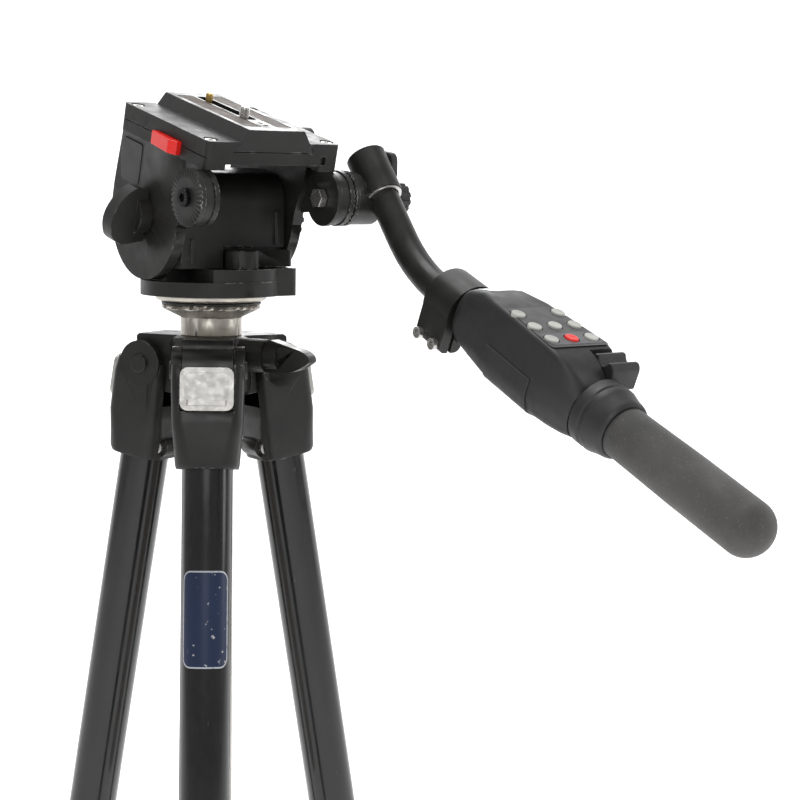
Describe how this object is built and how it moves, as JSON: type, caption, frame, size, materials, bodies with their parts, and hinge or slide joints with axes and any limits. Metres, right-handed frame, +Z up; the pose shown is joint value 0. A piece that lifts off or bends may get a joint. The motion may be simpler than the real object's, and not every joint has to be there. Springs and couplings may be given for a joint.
{
  "type": "camera tripod with fluid head",
  "caption": "Camera tripod with telescoping tube legs, a sliding column and a fluid video head that pans and tilts, with a cranked pan bar and a remote-control grip.",
  "frame": {"origin": "on the ground, under the centre of the object's bounding box", "axes": "+Z up; the camera on the head looks along +Y; the pan bar comes back along -Y, on the +X side"},
  "size_m": [0.2676, 0.5384, 0.811],
  "materials": {
    "black_casting": "satin black paint over cast metal, worn bright along the edges",
    "black_tube": "glossy black anodised tube",
    "bright_alloy": "fine brushed, clear finish",
    "bare_steel": "bare turned steel",
    "brass_pin": "turned brass, slightly dull",
    "red_plastic": "glossy moulded plastic",
    "black_plastic": "fine-grained charcoal plastic",
    "key_plastic": "pale grey moulded keys",
    "grip_rubber": "dusty dark grey rubber",
    "foot_rubber": "black rubber"
  },
  "bodies": {
    "shoulder": {"shoulder": "black_casting"},
    "column_lock": {"column_lock_lever": "black_casting"},
    "column": {"column_tube": "bright_alloy", "column_top": "bright_alloy", "head_stud": "bare_steel", "swivel_plate": "bright_alloy"},
    "pan": {"pan_base": "black_casting", "tilt_housing": "black_casting"},
    "pan_lock": {"pan_lock_lever": "black_casting"},
    "tilt": {"platform": "black_casting", "side_plate_left": "black_casting", "side_plate_right": "black_casting", "handle_bolt": "bare_steel"},
    "tilt_lock": {"tilt_lock_lever": "black_casting"},
    "tilt_drag": {"tilt_drag_knob": "black_plastic"},
    "plate_lock": {"plate_lock_knob": "black_plastic"},
    "release": {"safety_button": "red_plastic"},
    "quick": {"quick_release_plate": "black_casting"},
    "camera_screw": {"camera_screw": "bare_steel"},
    "video_pin": {"video_pin": "brass_pin"},
    "handle": {"handle_clamp": "black_casting", "pan_bar": "black_casting", "remote_clamp": "black_casting", "remote_housing": "black_plastic", "grip": "grip_rubber"},
    "handle_knob": {"handle_knob": "black_plastic"},
    "wing_knob": {"wing_knob": "black_plastic"},
    "zoom": {"zoom_rocker": "black_plastic"},
    "key_1": {"button_1": "key_plastic"},
    "key_2": {"button_2": "key_plastic"},
    "key_3": {"button_3": "key_plastic"},
    "key_4": {"button_4": "key_plastic"},
    "key_5": {"button_5": "key_plastic"},
    "key_6": {"button_6": "key_plastic"},
    "key_7": {"button_7": "red_plastic"},
    "key_8": {"button_8": "key_plastic"},
    "leg_a": {"yoke_a": "black_casting", "upper_tube_a": "black_tube"},
    "angle_tab_a": {"angle_tab_a": "bright_alloy"},
    "upper_lever_a": {"upper_lever_a": "black_plastic"},
    "mid_a": {"mid_tube_a": "black_tube"},
    "lower_lever_a": {"lower_lever_a": "black_plastic"},
    "lower_a": {"lower_tube_a": "black_tube", "foot_a": "foot_rubber"},
    "leg_b": {"yoke_b": "black_casting", "upper_tube_b": "black_tube"},
    "angle_tab_b": {"angle_tab_b": "bright_alloy"},
    "upper_lever_b": {"upper_lever_b": "black_plastic"},
    "mid_b": {"mid_tube_b": "black_tube"},
    "lower_lever_b": {"lower_lever_b": "black_plastic"},
    "lower_b": {"lower_tube_b": "black_tube", "foot_b": "foot_rubber"},
    "leg_c": {"yoke_c": "black_casting", "upper_tube_c": "black_tube"},
    "angle_tab_c": {"angle_tab_c": "bright_alloy"},
    "upper_lever_c": {"upper_lever_c": "black_plastic"},
    "mid_c": {"mid_tube_c": "black_tube"},
    "lower_lever_c": {"lower_lever_c": "black_plastic"},
    "lower_c": {"lower_tube_c": "black_tube", "foot_c": "foot_rubber"}
  },
  "joints": [
    {"name": "column_lock_turn", "type": "hinge", "parent": "shoulder", "child": "column_lock", "pos_m": [-0.01612, 0.07943, 0.65481], "axis": [0.4376, -0.8992, 0], "range_deg": [-90, 90]},
    {"name": "column_slide", "type": "slide", "parent": "shoulder", "child": "column", "axis": [0, 0, 1], "range_m": [0, 0.25]},
    {"name": "pan_turn", "type": "hinge", "parent": "column", "child": "pan", "pos_m": [-0.03377, 0.11571, 0.68631], "axis": [0, 0, 1], "continuous": true},
    {"name": "pan_lock_turn", "type": "hinge", "parent": "pan", "child": "pan_lock", "pos_m": [-0.03177, 0.08471, 0.70716], "axis": [0, 0, 1], "range_deg": [-70, 0]},
    {"name": "tilt_turn", "type": "hinge", "parent": "pan", "child": "tilt", "pos_m": [-0.03377, 0.12171, 0.73831], "axis": [1, 0, 0], "range_deg": [-74, 50]},
    {"name": "tilt_lock_turn", "type": "hinge", "parent": "tilt", "child": "tilt_lock", "pos_m": [-0.03377, 0.12171, 0.73831], "axis": [1, 0, 0], "range_deg": [0, 60]},
    {"name": "tilt_drag_turn", "type": "hinge", "parent": "pan", "child": "tilt_drag", "pos_m": [-0.03377, 0.12171, 0.73831], "axis": [1, 0, 0], "range_deg": [-150, 150]},
    {"name": "plate_lock_turn", "type": "hinge", "parent": "tilt", "child": "plate_lock", "pos_m": [-0.03377, 0.09781, 0.78383], "axis": [1, 0, 0], "range_deg": [-90, 0]},
    {"name": "release_press", "type": "slide", "parent": "tilt", "child": "release", "axis": [1, 0, 0], "range_m": [0, 0.0015], "stiffness_N_per_m": 900},
    {"name": "quick_slide", "type": "slide", "parent": "tilt", "child": "quick", "axis": [0, 0.9694, 0.2453], "range_m": [-0.025, 0.025]},
    {"name": "camera_screw_turn", "type": "hinge", "parent": "quick", "child": "camera_screw", "pos_m": [-0.03377, 0.08179, 0.7901], "axis": [0, -0.2453, 0.9694], "continuous": true},
    {"name": "video_pin_press", "type": "slide", "parent": "quick", "child": "video_pin", "axis": [0, 0.2453, -0.9694], "range_m": [0, 0.004], "stiffness_N_per_m": 400},
    {"name": "handle_turn", "type": "hinge", "parent": "tilt", "child": "handle", "pos_m": [-0.03377, 0.05751, 0.74909], "axis": [1, 0, 0], "range_deg": [-80, 45]},
    {"name": "handle_knob_turn", "type": "hinge", "parent": "handle", "child": "handle_knob", "pos_m": [-0.03377, 0.05751, 0.74909], "axis": [1, 0, 0], "continuous": true},
    {"name": "wing_knob_turn", "type": "hinge", "parent": "handle", "child": "wing_knob", "pos_m": [-0.03377, 0.05562, 0.76711], "axis": [1, 0, 0], "range_deg": [0, 75]},
    {"name": "zoom_rock", "type": "hinge", "parent": "handle", "child": "zoom", "pos_m": [0.05423, -0.14142, 0.6582], "axis": [-1, 0, 0], "range_deg": [-5, 5], "stiffness_Nm_per_rad": 0.6},
    {"name": "key_1_press", "type": "slide", "parent": "handle", "child": "key_1", "axis": [0, 0.3891, -0.9212], "range_m": [0, 0.0008], "stiffness_N_per_m": 350},
    {"name": "key_2_press", "type": "slide", "parent": "handle", "child": "key_2", "axis": [0, 0.3891, -0.9212], "range_m": [0, 0.0008], "stiffness_N_per_m": 350},
    {"name": "key_3_press", "type": "slide", "parent": "handle", "child": "key_3", "axis": [0, 0.3891, -0.9212], "range_m": [0, 0.0008], "stiffness_N_per_m": 350},
    {"name": "key_4_press", "type": "slide", "parent": "handle", "child": "key_4", "axis": [0, 0.3891, -0.9212], "range_m": [0, 0.0008], "stiffness_N_per_m": 350},
    {"name": "key_5_press", "type": "slide", "parent": "handle", "child": "key_5", "axis": [0, 0.3891, -0.9212], "range_m": [0, 0.0008], "stiffness_N_per_m": 350},
    {"name": "key_6_press", "type": "slide", "parent": "handle", "child": "key_6", "axis": [0, 0.3891, -0.9212], "range_m": [0, 0.0008], "stiffness_N_per_m": 350},
    {"name": "key_7_press", "type": "slide", "parent": "handle", "child": "key_7", "axis": [0, 0.3891, -0.9212], "range_m": [0, 0.0008], "stiffness_N_per_m": 350},
    {"name": "key_8_press", "type": "slide", "parent": "handle", "child": "key_8", "axis": [0, 0.3891, -0.9212], "range_m": [0, 0.0008], "stiffness_N_per_m": 350},
    {"name": "leg_a_swing", "type": "hinge", "parent": "shoulder", "child": "leg_a", "pos_m": [-0.05505, 0.08423, 0.64781], "axis": [-0.8285, 0.5599, 0], "range_deg": [-9, 55]},
    {"name": "angle_tab_a_pull", "type": "slide", "parent": "leg_a", "child": "angle_tab_a", "axis": [-0.5514, -0.816, 0.1736], "range_m": [0, 0.005], "stiffness_N_per_m": 500},
    {"name": "upper_lever_a_flip", "type": "hinge", "parent": "leg_a", "child": "upper_lever_a", "pos_m": [-0.11708, -0.00756, 0.15658], "axis": [-0.8285, 0.5599, 0], "range_deg": [0, 100]},
    {"name": "mid_a_slide", "type": "slide", "parent": "leg_a", "child": "mid_a", "axis": [-0.0972, -0.1439, -0.9848], "range_m": [0, 0.34]},
    {"name": "lower_lever_a_flip", "type": "hinge", "parent": "mid_a", "child": "lower_lever_a", "pos_m": [-0.12295, -0.01625, 0.08329], "axis": [-0.8285, 0.5599, 0], "range_deg": [0, 100]},
    {"name": "lower_a_slide", "type": "slide", "parent": "mid_a", "child": "lower_a", "axis": [-0.0972, -0.1439, -0.9848], "range_m": [0, 0.35]},
    {"name": "leg_b_swing", "type": "hinge", "parent": "shoulder", "child": "leg_b", "pos_m": [0.00413, 0.11303, 0.64781], "axis": [-0.0706, -0.9975, 0], "range_deg": [-9, 55]},
    {"name": "angle_tab_b_pull", "type": "slide", "parent": "leg_b", "child": "angle_tab_b", "axis": [0.9823, -0.0696, 0.1736], "range_m": [0, 0.005], "stiffness_N_per_m": 500},
    {"name": "upper_lever_b_flip", "type": "hinge", "parent": "leg_b", "child": "upper_lever_b", "pos_m": [0.11464, 0.10521, 0.15658], "axis": [-0.0706, -0.9975, 0], "range_deg": [0, 100]},
    {"name": "mid_b_slide", "type": "slide", "parent": "leg_b", "child": "mid_b", "axis": [0.1732, -0.0123, -0.9848], "range_m": [0, 0.34]},
    {"name": "lower_lever_b_flip", "type": "hinge", "parent": "mid_b", "child": "lower_lever_b", "pos_m": [0.1251, 0.10447, 0.08329], "axis": [-0.0706, -0.9975, 0], "range_deg": [0, 100]},
    {"name": "lower_b_slide", "type": "slide", "parent": "mid_b", "child": "lower_b", "axis": [0.1732, -0.0123, -0.9848], "range_m": [0, 0.35]},
    {"name": "leg_c_swing", "type": "hinge", "parent": "shoulder", "child": "leg_c", "pos_m": [-0.0504, 0.14988, 0.64781], "axis": [0.8992, 0.4376, 0], "range_deg": [-9, 55]},
    {"name": "angle_tab_c_pull", "type": "slide", "parent": "leg_c", "child": "angle_tab_c", "axis": [-0.4309, 0.8855, 0.1736], "range_m": [0, 0.005], "stiffness_N_per_m": 500},
    {"name": "upper_lever_c_flip", "type": "hinge", "parent": "leg_c", "child": "upper_lever_c", "pos_m": [-0.09888, 0.2495, 0.15658], "axis": [0.8992, 0.4376, 0], "range_deg": [0, 100]},
    {"name": "mid_c_slide", "type": "slide", "parent": "leg_c", "child": "mid_c", "axis": [-0.076, 0.1561, -0.9848], "range_m": [0, 0.34]},
    {"name": "lower_lever_c_flip", "type": "hinge", "parent": "mid_c", "child": "lower_lever_c", "pos_m": [-0.10347, 0.25893, 0.08329], "axis": [0.8992, 0.4376, 0], "range_deg": [0, 100]},
    {"name": "lower_c_slide", "type": "slide", "parent": "mid_c", "child": "lower_c", "axis": [-0.076, 0.1561, -0.9848], "range_m": [0, 0.35]}
  ]
}
